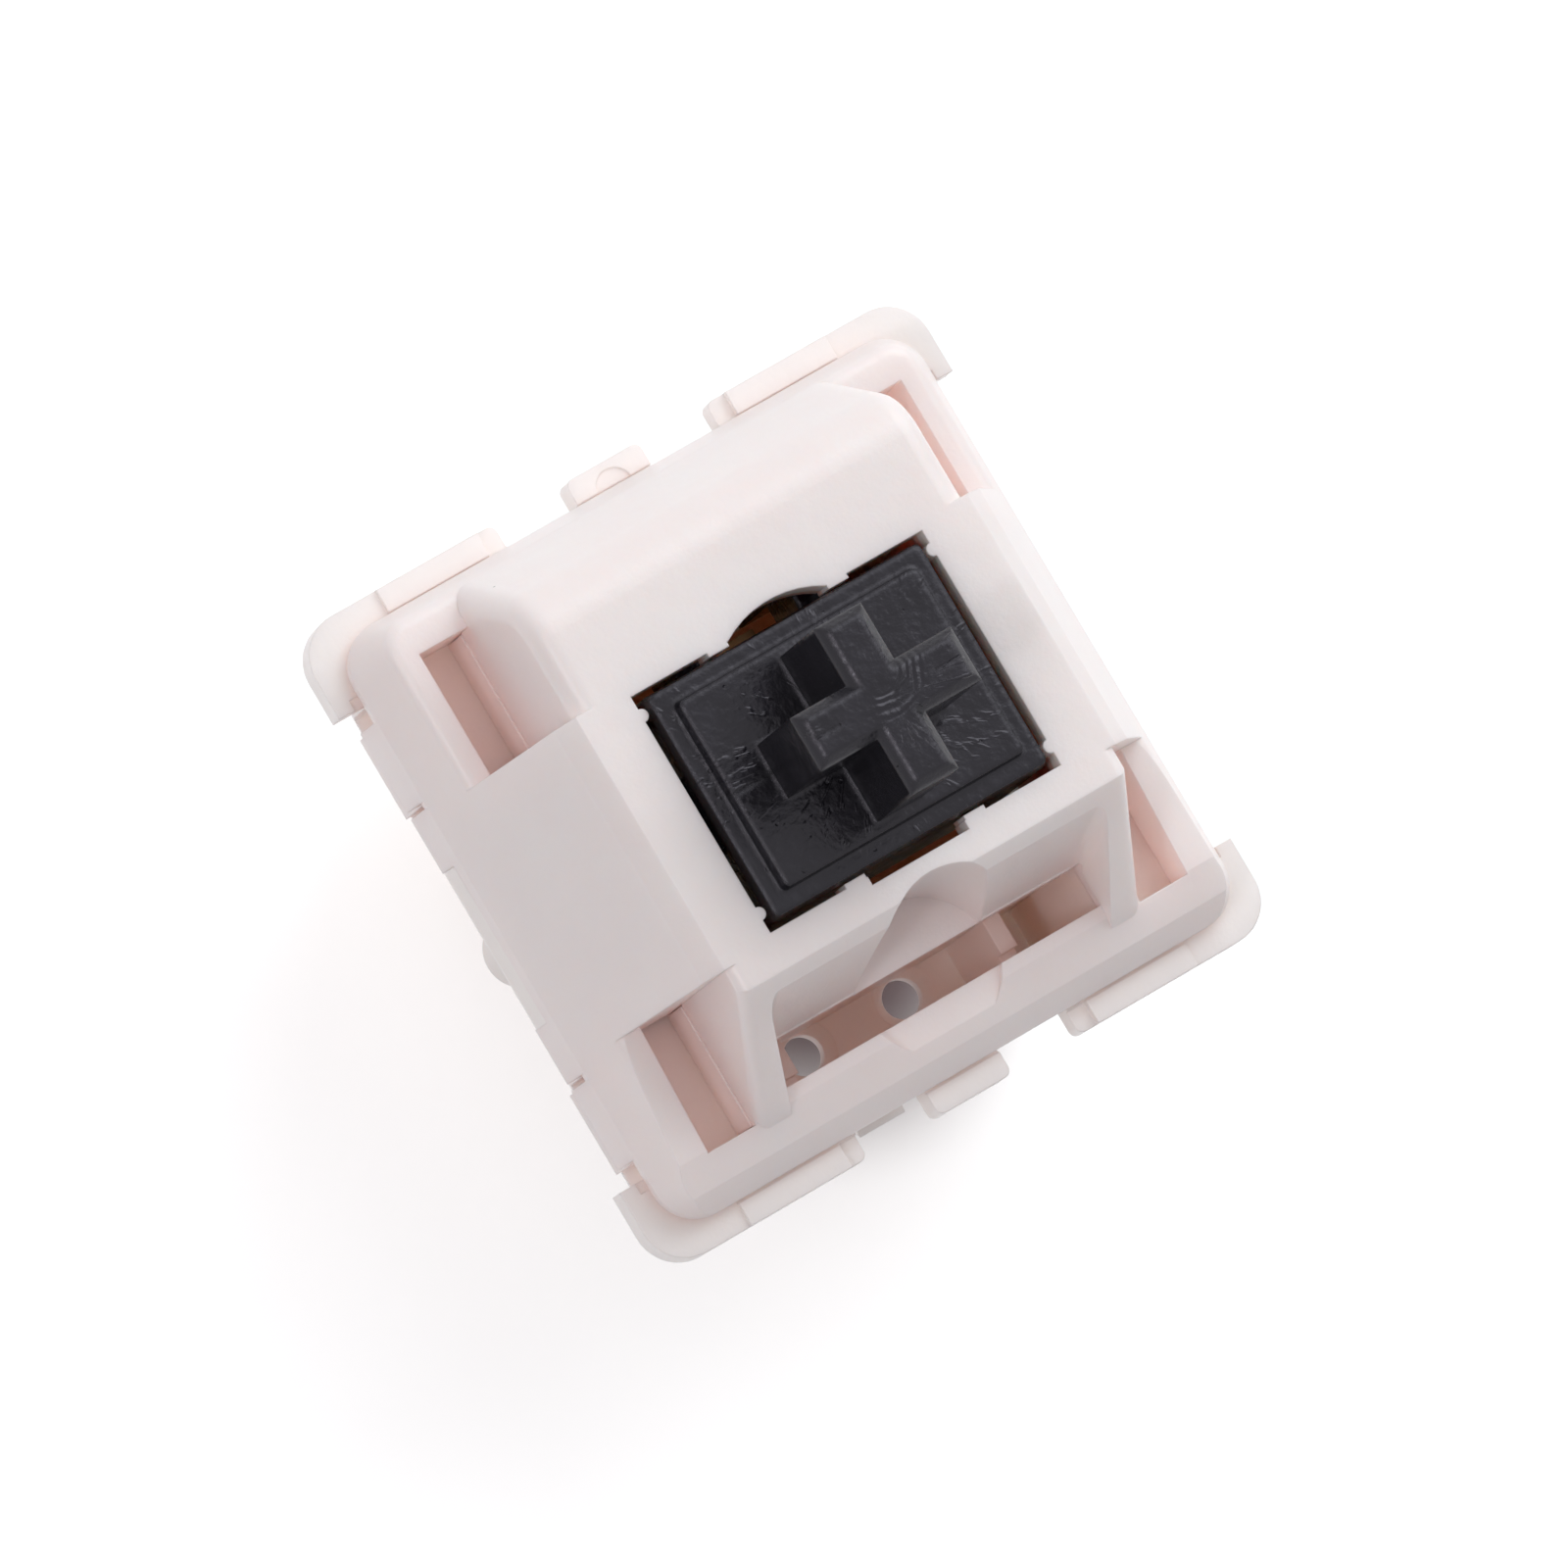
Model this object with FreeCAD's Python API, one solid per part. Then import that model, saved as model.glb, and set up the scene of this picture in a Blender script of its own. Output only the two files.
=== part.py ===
import FreeCAD, Part
import math
import os

# Mechanical keyboard switch with a cross-shaped stem, in millimetres.
# The origin is the centre of the underside of the lower housing, on the post's axis.
# +Z is up, along the stem. +X is east, and -Y is the side that takes the indicator lamp.

Vector = FreeCAD.Vector

# The flange is 15.6 mm wide, and the widths given through across() keep in step with it.
flange_size = 15.6
widening = flange_size / 15.6


def across(width):
    """Width or place of the real switch, in proportion to the flange."""
    return width * widening


# Heights
seat_z = 5.0
flange_thickness = 0.8
rim_height = 0.3
pocket_rim_height = 1.5
ledge_height = 1.1
cover_height = 5.2
travel = 4.0
pin_drop = 3.3

# Clearances
part_gap = 0.03
slide_gap = 0.07
catch_gap = 0.05
running_gap = 0.1
loose_gap = 0.2

# Lower housing
flange_radius = 1.0
body_size = across(13.9)
body_radius = 0.8
base_inset_x = 0.95
base_inset_y = 0.15
taper_z = 3.6
floor_thickness = 0.6
wall = 0.8
flange_end_x = across(2.7)
flange_end_y = across(5.8)
bar_end_x = across(5.7)
bar_height = 0.12
tab_half = across(0.93)
tab_mark_radius = 0.42
tab_mark_depth = 0.06
side_recess = 0.55
block_drop = 0.2
block_lip_width = 0.65
wing_inset = 1.25
wing_half_y = across(2.9)
partition_thickness = 0.6
partition_rise = 0.5
seat_groove = 0.1
seat_groove_width = 0.25
end_step_length = 0.45
end_step_drop = 0.2
end_round = 0.18
lug_inner_x = across(0.95)
lug_outer_x = across(2.1)
lug_reach = 0.35
lug_z = 3.2
lug_height = 0.75

# Lamp box in the lower housing
lamp_y = across(-5.08)
lamp_hole_pitch = across(2.54)
lamp_hole_radius = 0.45
lamp_sink_radius = 0.7
lamp_sink_depth = 0.25
lamp_box_half = across(2.6)
lamp_box_wall = 0.42
lamp_box_top = 4.0
lamp_box_step = 0.35
lamp_box_step_offset = 0.37

# Posts under the lower housing
post_radius = 2.0
post_chamfer = 0.35
post_floor = 1.1
fixing_x = across(5.08)
fixing_radius = 0.85
fixing_straight = 1.1
fixing_tip_length = 0.8
fixing_tip_radius = 0.45

# Guide tube for the stem's pole
pole_radius = across(0.95)
tube_wall = across(0.5)
tube_top = 4.6

# Upper housing
upper_length_x = across(14.48)
upper_length_y = across(14.4)
upper_radius = 1.0
upper_top_radius = 0.6
plateau_half_x = across(5.16)
panel_half_y = across(3.06)
north_draft = 0.33
north_corner_offset = 1.53
north_round = 1.2
tower_round = 0.5
rib_round = 0.28
rim_round = 0.3
bevel_inset = 0.24
bevel_drop = 0.46
recess_lean = across(0.84)
recess_wall = across(0.82)
recess_round = 0.3
rib_slope = 1.65
rib_top_offset = 0.19
rib_thickness = 0.58
rib_draft = 0.23
roof = 0.9
panel_wall = 0.8
pocket_wall = 1.14
pocket_end_wall = 1.15
tower_wall = 0.62
tower_foot = 0.8
slot_north_offset = across(0.37)
slot_south_offset = across(0.62)
lamp_well_radius = across(1.66)
lamp_well_depth = 0.2
ledge_corner_offset = 1.2
ledge_bend_offset = 0.45
ledge_bend_drop = 0.4

# Window round the stem
window_half_x = across(3.66)
window_half_y = across(2.86)
nub_x = across(1.5)
nub_half = 0.25
nub_height = 0.1
notch_half = across(1.22)
notch_arc_rise = 0.33
notch_flat_rise = 0.2
side_nub_y = across(2.4)
side_nub_radius = 0.15

# Skirts and clips of the upper housing
skirt_reach = 0.16
apron_half_y = across(3.25)
apron_notch_half = across(1.92)
apron_notch_height = 0.67
slit = 0.16
clip_thickness = 0.5
clip_length = across(1.95)
hook_reach = 0.35
hook_z = 3.25
hook_height = 0.75

# Stem
slider_radius = 0.12
slider_depth = 5.5
slider_sink = 0.2
shoulder_height = 0.35
shoulder_inset = 0.06
platform_height = 0.38
platform_foot_inset = 0.43
platform_inset = 0.48
cross_height = 3.35
cross_span = across(4.0)
cross_bar_x = 1.18
cross_bar_y = 1.28
cross_chamfer = 0.21
parting_width = 0.07
parting_depth = 0.03
spring_seat_height = 1.0
chamber_half_x = across(2.75)
chamber_half_y = across(1.75)
pole_chamfer = 0.3
rail_half_y = across(0.9)
leg_width = 1.0
leg_bridge_height = 2.0
leg_thickness = 0.3
cam_reach = 0.35
cam_height = 2.0

# Return spring
spring_radius = across(1.92)
spring_wire = 0.22
spring_wire_sides = 6
spring_turns = 8
spring_end_turns = 1

# Contacts
sheet = 0.2
pin_width = 0.8
pin_taper = 0.4
fixed_pin_x = across(-3.81)
fixed_pin_y = across(2.54)
moving_pin_x = across(2.54)
moving_pin_y = across(5.08)
fixed_plate_half = across(0.85)
fixed_arm_top = 3.0
fixed_plate_top = 6.3
leaf_half = across(0.9)
ear_height = 1.0
leaf_base_west_x = across(-2.2)
leaf_base_reach = 0.36
leaf_base_top = 4.6
point_z = 5.4
point_long = 0.7
point_short = 0.4
point_reach = 0.35
point_chamfer = 0.14

# Heights worked out from those above
flange_top = seat_z + flange_thickness
base_z = flange_top + part_gap
rim_z = flange_top + rim_height
pocket_rim_z = rim_z + pocket_rim_height
ledge_z = rim_z + ledge_height
ledge_bend_z = ledge_z - ledge_bend_drop
top_z = rim_z + cover_height
tower_floor_z = rim_z + tower_foot
block_lip_z = tower_floor_z - catch_gap
block_ledge_z = flange_top - block_drop
partition_top = flange_top + partition_rise
slider_rim_z = top_z - slider_sink
shoulder_z = slider_rim_z + shoulder_height
platform_z = shoulder_z + platform_height
cross_top = platform_z + cross_height
slider_bottom = slider_rim_z - slider_depth
chamber_top = tube_top + travel + spring_seat_height
pole_tip_z = post_floor - pin_drop + travel + 3 * loose_gap
leg_bottom = floor_thickness + travel + loose_gap
leg_bridge_z = fixed_arm_top + travel + 2 * loose_gap
leg_top = leg_bridge_z + leg_bridge_height
cam_top = leg_bottom + cam_height
leaf_top = cam_top
leaf_neck_z = leaf_top - ear_height
contact_floor = floor_thickness + part_gap

# Widths and places worked out from those above
half_body = body_size / 2
half_flange = flange_size / 2
half_upper_x = upper_length_x / 2
half_upper_y = upper_length_y / 2
side_face_x = half_body - side_recess
panel_lean = (half_upper_x - plateau_half_x) / cover_height
slot_north_y = lamp_y + slot_north_offset
slot_south_y = lamp_y - slot_south_offset
plateau_south_y = slot_north_y + recess_lean
wall_lean = recess_lean / (top_z - ledge_z)
north_foot_y = half_upper_y - north_draft
north_corner_y = half_upper_y - north_corner_offset
stem_bay_south_y = plateau_south_y + recess_wall
partition_y = slot_north_y + partition_thickness + running_gap
rib_top_y = plateau_south_y + rib_top_offset
slider_half_x = window_half_x - side_nub_radius - catch_gap
slider_half_y = window_half_y - nub_height - catch_gap
bay_half_x = slider_half_x + wall
tower_half_x = bay_half_x + tower_wall
rib_inner_x = tower_half_x - rib_thickness
slot_half_x = rib_inner_x - rib_draft
block_lip_x = bay_half_x + block_lip_width
pocket_outer_x = half_upper_x - pocket_wall
pocket_end_y = half_upper_y - pocket_end_wall
skirt_inner_x = side_face_x + catch_gap
clip_outer_x = skirt_inner_x + clip_thickness
clip_outer_y = apron_half_y + slit + clip_length
skirt_z = seat_z + catch_gap
hook_low_z = hook_z - slit
tube_bore = pole_radius + slide_gap
tube_radius = tube_bore + tube_wall
chamber_radius = spring_radius + spring_wire / 2 + 1.5 * loose_gap
fixed_sheet_y = slider_half_y + loose_gap
leg_south_y = fixed_sheet_y + sheet + loose_gap
leg_north_y = leg_south_y + leg_thickness
cam_y = leg_north_y + cam_reach
leg_x = fixed_plate_half + loose_gap + leg_width / 2
leaf_y = cam_y + running_gap
leaf_base_y = half_body - wall - 2 * loose_gap


def box(x0, x1, y0, y1, z0, z1):
    """Block between two corners, given as low and high on each axis."""
    return Part.makeBox(x1 - x0, y1 - y0, z1 - z0, Vector(x0, y0, z0))


def cylinder(radius, x, y, z0, z1):
    """Upright cylinder."""
    return Part.makeCylinder(radius, z1 - z0, Vector(x, y, z0))


def cone(radius_low, radius_high, x, y, z0, z1):
    """Upright cone from its lower to its upper radius."""
    return Part.makeCone(radius_low, radius_high, z1 - z0, Vector(x, y, z0))


def rounded_wire(length_x, length_y, radius, z):
    """Rounded rectangle about the Z axis, as a closed wire."""
    inner_x = length_x / 2 - radius
    inner_y = length_y / 2 - radius
    edges = []
    corners = ((inner_x, inner_y), (-inner_x, inner_y), (-inner_x, -inner_y), (inner_x, -inner_y))
    for index, (x, y) in enumerate(corners):
        start = index * 90
        points = []
        for angle in (start, start + 45, start + 90):
            turn = math.radians(angle)
            points.append(Vector(x + radius * math.cos(turn), y + radius * math.sin(turn), z))
        edges.append(Part.Arc(*points).toShape())
    closed = []
    for index, arc in enumerate(edges):
        following = edges[(index + 1) % 4]
        closed.append(arc)
        closed.append(Part.makeLine(arc.lastVertex().Point, following.firstVertex().Point))
    return Part.Wire(closed)


def rounded_slab(length_x, length_y, radius, z0, z1):
    """Rounded rectangular plate."""
    face = Part.Face(rounded_wire(length_x, length_y, radius, z0))
    return face.extrude(Vector(0, 0, z1 - z0))


def rounded_taper(low, high, z0, z1):
    """Block between two rounded rectangles, each given as (length_x, length_y, radius)."""
    return Part.makeLoft([rounded_wire(*low, z0), rounded_wire(*high, z1)], True, True)


def prism_y(outline, y0, y1):
    """Outline of (x, z) points carried along Y."""
    points = [Vector(x, y0, z) for x, z in outline]
    return Part.Face(Part.makePolygon(points + points[:1])).extrude(Vector(0, y1 - y0, 0))


def prism_x(outline, x0, x1):
    """Outline of (y, z) points carried along X."""
    points = [Vector(x0, y, z) for y, z in outline]
    return Part.Face(Part.makePolygon(points + points[:1])).extrude(Vector(x1 - x0, 0, 0))


def joined(shapes):
    """One solid from shapes that meet."""
    first, *others = shapes
    return first.fuse(others).removeSplitter()


def mirrored_x(shape):
    """The same shape on the other side of the YZ plane."""
    return shape.mirror(Vector(0, 0, 0), Vector(1, 0, 0))


def mirrored_y(shape):
    """The same shape on the other side of the XZ plane."""
    return shape.mirror(Vector(0, 0, 0), Vector(0, 1, 0))


def half_turn(shape):
    """The same shape turned 180 degrees about the Z axis."""
    turned = shape.copy()
    turned.rotate(Vector(0, 0, 0), Vector(0, 0, 1), 180)
    return turned


def both_sides(shape):
    """A shape and its mirror image across the YZ plane."""
    return [shape, mirrored_x(shape)]


def four_corners(shape):
    """A shape repeated in all four corners."""
    pair = both_sides(shape)
    return pair + [mirrored_y(piece) for piece in pair]


def lower_shell():
    """Tapered tub with its flange, before the inside is cut."""
    base = (body_size - 2 * base_inset_x, body_size - 2 * base_inset_y, body_radius)
    tub = rounded_taper(base, (body_size, body_size, body_radius), 0, taper_z)
    collar = rounded_slab(body_size, body_size, body_radius, taper_z, flange_top)
    flange = rounded_slab(flange_size, flange_size, flange_radius, seat_z, flange_top)
    shell = joined([tub, collar, flange])
    high = flange_top + 1
    far = half_flange + 1
    side_gap = box(side_face_x, far, -flange_end_y, flange_end_y, seat_z - part_gap, high)
    bay = box(side_face_x, far, apron_half_y, flange_end_y, hook_low_z - loose_gap, high)
    end_gap = box(tab_half, flange_end_x, half_body, far, seat_z - 1, high)
    corner_step = box(bar_end_x, far, 0, far, flange_top - bar_height, high)
    end_step = box(
        flange_end_x, flange_end_x + end_step_length, half_upper_y + catch_gap, far,
        flange_top - end_step_drop, high
    )
    tab_mark = cylinder(tab_mark_radius, 0, half_upper_y, flange_top - tab_mark_depth, high)
    cuts = both_sides(side_gap) + four_corners(bay) + four_corners(end_gap)
    cuts += four_corners(corner_step) + four_corners(end_step) + [tab_mark, seat_ring()]
    shell = shell.cut(cuts)
    corners = [edge for edge in shell.Edges if at_flange_end(edge)]
    return shell.makeFillet(end_round, corners)


def at_flange_end(edge):
    """Whether an edge is an upright outer corner of a tab or of a flange piece's inner end."""
    bounds = edge.BoundBox
    upright = bounds.XLength < part_gap and bounds.YLength < part_gap and bounds.ZLength > part_gap
    x = abs(edge.CenterOfMass.x)
    at_end = abs(x - tab_half) < part_gap or abs(x - flange_end_x) < part_gap
    return upright and at_end and abs(edge.CenterOfMass.y) > half_flange - part_gap


def seat_ring():
    """Groove in the flange that follows the edge of the cover."""
    low = flange_top - seat_groove
    high = flange_top + 1
    outer = rounded_slab(
        upper_length_x + 2 * catch_gap, upper_length_y + 2 * catch_gap,
        upper_radius + catch_gap, low, high
    )
    width = 2 * (seat_groove_width - catch_gap)
    inner = rounded_slab(
        upper_length_x - width, upper_length_y - width,
        upper_radius + catch_gap - seat_groove_width, low, high
    )
    return outer.cut(inner)


def lower_inside():
    """Space inside the lower housing, as cutting shapes."""
    high = block_lip_z + 1
    north = half_body - wall
    south = partition_y - partition_thickness
    wing_x = half_body - wing_inset
    main = box(-bay_half_x, bay_half_x, partition_y, north, floor_thickness, high)
    wings = box(-wing_x, wing_x, -wing_half_y, wing_half_y, floor_thickness, high)
    lamp = box(-bay_half_x, bay_half_x, -north, south, floor_thickness, high)
    return [main, wings, lamp]


def lamp_box():
    """Two short walls that hold the lamp, each with a step near its south end."""
    inner = lamp_box_half
    outer = lamp_box_half + lamp_box_wall
    north = partition_y - partition_thickness
    south = -(half_body - wall)
    step_y = lamp_y - lamp_box_step_offset
    tall = box(inner, outer, step_y, north, floor_thickness, lamp_box_top)
    low = box(inner, outer, south, step_y, floor_thickness, lamp_box_top - lamp_box_step)
    return both_sides(joined([tall, low]))


def lower_housing():
    """Tub with flange, stem guide tube, lamp box, post, fixing pins and plate lugs."""
    shell = lower_shell()
    lips = box(
        bay_half_x, block_lip_x, panel_half_y + part_gap, pocket_end_y - part_gap,
        block_ledge_z, block_lip_z
    )
    blocks = four_corners(lips)
    ledge_cut = box(block_lip_x, side_face_x + 1, 0, pocket_end_y, block_ledge_z, flange_top + 1)
    shell = shell.cut(four_corners(ledge_cut) + lower_inside())
    partition = box(
        -bay_half_x, bay_half_x, partition_y - partition_thickness, partition_y,
        floor_thickness, partition_top
    )
    tube = cylinder(tube_radius, 0, 0, 0, tube_top)
    post = cylinder(post_radius, 0, 0, post_chamfer - pin_drop, 0)
    post_tip = cone(post_radius - post_chamfer, post_radius, 0, 0, -pin_drop, post_chamfer - pin_drop)
    straight_z = -fixing_straight
    fixing = cylinder(fixing_radius, fixing_x, 0, straight_z, 0)
    tip = cone(fixing_tip_radius, fixing_radius, fixing_x, 0, straight_z - fixing_tip_length, straight_z)
    lug = prism_x(
        [
            (-half_body + lug_reach, lug_z),
            (-half_body + base_inset_y, lug_z),
            (-half_body - lug_reach, lug_z + lug_height - lug_reach / 2),
            (-half_body, lug_z + lug_height),
            (-half_body + lug_reach, lug_z + lug_height),
        ],
        -lug_outer_x, -lug_inner_x
    )
    pieces = [shell, partition, tube, post, post_tip, lug, half_turn(lug)]
    pieces += blocks + both_sides(fixing) + both_sides(tip) + lamp_box()
    housing = joined(pieces)
    bore = cylinder(tube_bore, 0, 0, post_floor - pin_drop, tube_top + 1)
    hole_x = lamp_hole_pitch / 2
    leg_hole = cylinder(lamp_hole_radius, hole_x, lamp_y, -1, floor_thickness + 1)
    sink = cone(
        lamp_hole_radius, lamp_sink_radius, hole_x, lamp_y,
        floor_thickness - lamp_sink_depth, floor_thickness
    )
    cuts = [bore] + both_sides(leg_hole) + both_sides(sink) + pin_slots()
    return housing.cut(cuts + four_corners(catch_pocket()))


def pin_slots():
    """Slots in the floor for the two contact pins."""
    slots = []
    for x, y in ((fixed_pin_x, fixed_pin_y), (moving_pin_x, moving_pin_y)):
        half_x = pin_width / 2 + part_gap
        half_y = sheet + part_gap
        slots.append(box(x - half_x, x + half_x, y - half_y, y + half_y, -1, floor_thickness + 1))
    return slots


def catch_pocket():
    """Undercut in the housing's side that a clip's hook snaps into."""
    return box(
        side_face_x - hook_reach, side_face_x + 1, apron_half_y, clip_outer_y + slit,
        hook_low_z - part_gap, hook_z + hook_height + part_gap
    )


def ramp_block(x0, x1, lift, south_y, bottom_z, rounding):
    """Block with a flat top and a leaning north face, moved inwards by lift, with a rounded corner."""
    corner_y = north_corner_y - lift
    high = top_z - lift
    block = prism_x(
        [
            (south_y, bottom_z),
            (south_y, high),
            (corner_y, high),
            (north_foot_y - lift, pocket_rim_z),
            (north_foot_y - lift, bottom_z),
        ],
        x0, x1
    )
    corner = [edge for edge in block.Edges if lies_at(edge, corner_y, high)]
    return block.makeFillet(rounding, corner)


def lies_at(edge, y, z):
    """Whether a straight edge along X lies at this y and z."""
    middle = edge.CenterOfMass
    return abs(middle.y - y) < part_gap and abs(middle.z - z) < part_gap


def side_edges(block, inner_y):
    """Outer edges of a block's two side faces, but for those on its inner end at inner_y."""
    chosen = []
    for edge in block.Edges:
        bounds = edge.BoundBox
        flat = bounds.XLength < part_gap
        at_inner_end = bounds.YLength < part_gap and abs(bounds.YMin - inner_y) < part_gap
        at_foot = bounds.ZLength < part_gap and bounds.ZMin < rim_z + part_gap
        if flat and not at_inner_end and not at_foot:
            chosen.append(edge)
    return chosen


def low_block():
    """Wide lower part of the upper housing, up to the pockets' rims."""
    rise = pocket_rim_z - rim_z
    rim = rounded_slab(upper_length_x, upper_length_y, upper_radius, base_z, rim_z)
    sides = rounded_taper(
        (upper_length_x, upper_length_y, upper_radius),
        (
            upper_length_x - 2 * panel_lean * rise,
            upper_length_y - 2 * north_draft,
            upper_top_radius,
        ),
        rim_z, pocket_rim_z
    )
    upper_edges = [edge for edge in sides.Edges if edge.BoundBox.ZMin > pocket_rim_z - part_gap]
    sides = sides.makeFillet(rim_round, upper_edges)
    slope = prism_x(
        [
            (-half_upper_y - 1, rim_z),
            (-half_upper_y, rim_z),
            (ledge_bend_offset - half_upper_y, ledge_bend_z),
            (ledge_corner_offset - half_upper_y, ledge_z),
            (-panel_half_y, pocket_rim_z),
            (-panel_half_y, top_z),
            (-half_upper_y - 1, top_z),
        ],
        -half_upper_x - 1, half_upper_x + 1
    )
    return joined([rim, sides]).cut(slope)


def panel_block():
    """Middle of the east and west sides: two flat panels that lean in to the plateau."""
    bevel_x = plateau_half_x + panel_lean * bevel_drop
    bevel_top_x = plateau_half_x - bevel_inset
    outline = [
        (-half_upper_x, rim_z),
        (half_upper_x, rim_z),
        (bevel_x, top_z - bevel_drop),
        (bevel_top_x, top_z),
        (-bevel_top_x, top_z),
        (-bevel_x, top_z - bevel_drop),
    ]
    return prism_y(outline, -panel_half_y, panel_half_y)


def ribs():
    """South part of the tower, which ends in two sloping ribs beside the lamp's recess."""
    rib_foot_y = rib_top_y - (top_z - ledge_bend_z) / rib_slope
    block = prism_x(
        [
            (0, rim_z),
            (0, top_z),
            (rib_top_y, top_z),
            (rib_foot_y, ledge_bend_z),
            (rib_foot_y, rim_z),
        ],
        -tower_half_x, tower_half_x
    )
    return block.makeFillet(rib_round, side_edges(block, 0))


def lamp_recess():
    """Space of the lamp's recess: it widens upwards between the ribs, with rounded inner corners."""
    high = top_z + 1
    wide = rib_inner_x + rib_draft / (top_z - ledge_z)
    between_ribs = prism_y(
        [(-slot_half_x, ledge_z), (slot_half_x, ledge_z), (wide, high), (-wide, high)],
        -half_upper_y - 1, 0
    )
    under_ribs = box(-slot_half_x, slot_half_x, -half_upper_y, 0, 0, ledge_z + part_gap)
    low_y = slot_north_y - wall_lean * (ledge_z - rim_z)
    south_of_wall = prism_x(
        [
            (-half_upper_y - 1, rim_z),
            (low_y, rim_z),
            (plateau_south_y + wall_lean, high),
            (-half_upper_y - 1, high),
        ],
        -half_upper_x, half_upper_x
    )
    recess = between_ribs.common(south_of_wall)
    corners = [
        edge for edge in recess.Edges
        if edge.BoundBox.ZLength > ledge_height and edge.BoundBox.YMin > slot_north_y - part_gap
    ]
    return joined([recess.makeFillet(recess_round, corners), under_ribs.common(south_of_wall)])


def tower():
    """Narrow upper part with the rounded north slope and the two ribs."""
    north = ramp_block(-tower_half_x, tower_half_x, 0, 0, rim_z, north_round)
    north = north.makeFillet(tower_round, side_edges(north, 0))
    return joined([north, ribs()]).cut(lamp_recess())


def upper_inside():
    """Space inside the upper housing, as cutting shapes."""
    inner_top_z = top_z - roof
    main = ramp_block(
        -bay_half_x, bay_half_x, roof, stem_bay_south_y, seat_z, north_round - roof
    )
    room_x = bay_half_x + part_gap
    partition_room = box(
        -room_x, room_x, slot_north_y, stem_bay_south_y, seat_z, partition_top + catch_gap
    )
    lean_x = panel_lean * (inner_top_z - rim_z)
    wing_x = half_upper_x - panel_wall
    wings = prism_y(
        [
            (-side_face_x, seat_z),
            (side_face_x, seat_z),
            (wing_x, rim_z),
            (wing_x - lean_x, inner_top_z),
            (lean_x - wing_x, inner_top_z),
            (-wing_x, rim_z),
        ],
        -panel_half_y + wall, panel_half_y - wall
    )
    under_ledge = box(
        -slot_half_x, slot_half_x, -(half_body - wall), slot_north_y, seat_z, ledge_bend_z - wall
    )
    pocket = box(tower_half_x, pocket_outer_x, panel_half_y, pocket_end_y, seat_z, top_z + 1)
    lip_room = box(
        slot_half_x, block_lip_x + part_gap, panel_half_y, pocket_end_y, seat_z, tower_floor_z
    )
    shared = [main, wings, under_ledge, partition_room]
    return shared + four_corners(pocket) + four_corners(lip_room)


def window():
    """Opening for the stem, with its nubs, its curved notch and its flat notch."""
    z0 = top_z - roof - 1
    z1 = top_z + 1
    opening = box(-window_half_x, window_half_x, -window_half_y, window_half_y, z0, z1)
    for side in (-1, 1):
        for edge in (-1, 1):
            x = side * nub_x
            y = edge * window_half_y
            nub = box(x - nub_half, x + nub_half, y - nub_height, y + nub_height, z0, z1)
            bump = cylinder(side_nub_radius, side * window_half_x, edge * side_nub_y, z0, z1)
            opening = opening.cut([nub, bump])
    arc_radius = (notch_half ** 2 + notch_arc_rise ** 2) / (2 * notch_arc_rise)
    arc_y = window_half_y + notch_arc_rise - arc_radius
    arc = cylinder(arc_radius, 0, arc_y, z0, z1)
    arc = arc.common(box(-notch_half, notch_half, 0, window_half_y + notch_arc_rise, z0, z1))
    flat = box(-notch_half, notch_half, -window_half_y - notch_flat_rise, 0, z0, z1)
    return joined([opening, arc, flat])


def skirts():
    """West skirt: a middle apron with its notch, and two clips that snap on to the lower housing."""
    outer_low = half_upper_x + skirt_reach
    notch_top = skirt_z + apron_notch_height
    section = [
        (skirt_inner_x, skirt_z),
        (outer_low, skirt_z),
        (half_upper_x, rim_z),
        (skirt_inner_x, rim_z),
    ]
    apron = prism_y(section, -apron_half_y, apron_half_y)
    notch = box(
        skirt_inner_x - 1, outer_low + 1, -apron_notch_half, apron_notch_half,
        skirt_z - 1, notch_top
    )
    hook_x = skirt_inner_x - hook_reach
    hook_top = hook_z + hook_height
    leg = [
        (skirt_inner_x, base_z),
        (skirt_inner_x, hook_top),
        (hook_x, hook_top),
        (hook_x, hook_z + hook_reach / 2),
        (skirt_inner_x, hook_low_z),
        (clip_outer_x, hook_low_z),
        (clip_outer_x, base_z),
    ]
    low_y = apron_half_y + slit
    clip = joined([prism_y(section, low_y, clip_outer_y), prism_y(leg, low_y, clip_outer_y)])
    return [apron.cut(notch), clip, mirrored_y(clip)]


def upper_housing():
    """Cover with the window, the corner pockets, the lamp's recess and the side clips."""
    body = joined([low_block(), panel_block(), tower()])
    slot = box(-slot_half_x, slot_half_x, slot_south_y, slot_north_y, seat_z, pocket_rim_z)
    well = cylinder(lamp_well_radius, 0, lamp_y, ledge_z - lamp_well_depth, top_z + 1)
    body = body.cut(upper_inside() + [slot, well, window()])
    east = skirts()
    return joined([body] + east + [mirrored_x(piece) for piece in east])


def stem_head():
    """Stepped top of the stem with the cross that holds a key cap."""
    sizes = []
    for inset in (0, shoulder_inset, platform_foot_inset, platform_inset):
        sizes.append((2 * (slider_half_x - inset), 2 * (slider_half_y - inset), slider_radius))
    shoulder = rounded_taper(sizes[0], sizes[1], slider_rim_z, shoulder_z)
    platform = rounded_taper(sizes[2], sizes[3], shoulder_z, platform_z)
    span = cross_span / 2
    bars = joined([
        box(-cross_bar_x / 2, cross_bar_x / 2, -span, span, platform_z, cross_top),
        box(-span, span, -cross_bar_y / 2, cross_bar_y / 2, platform_z, cross_top),
    ])
    top_edges = [
        edge for edge in bars.Edges
        if edge.BoundBox.ZMin > cross_top - part_gap
    ]
    return [shoulder, platform, bars.makeChamfer(cross_chamfer, top_edges)]


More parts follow.
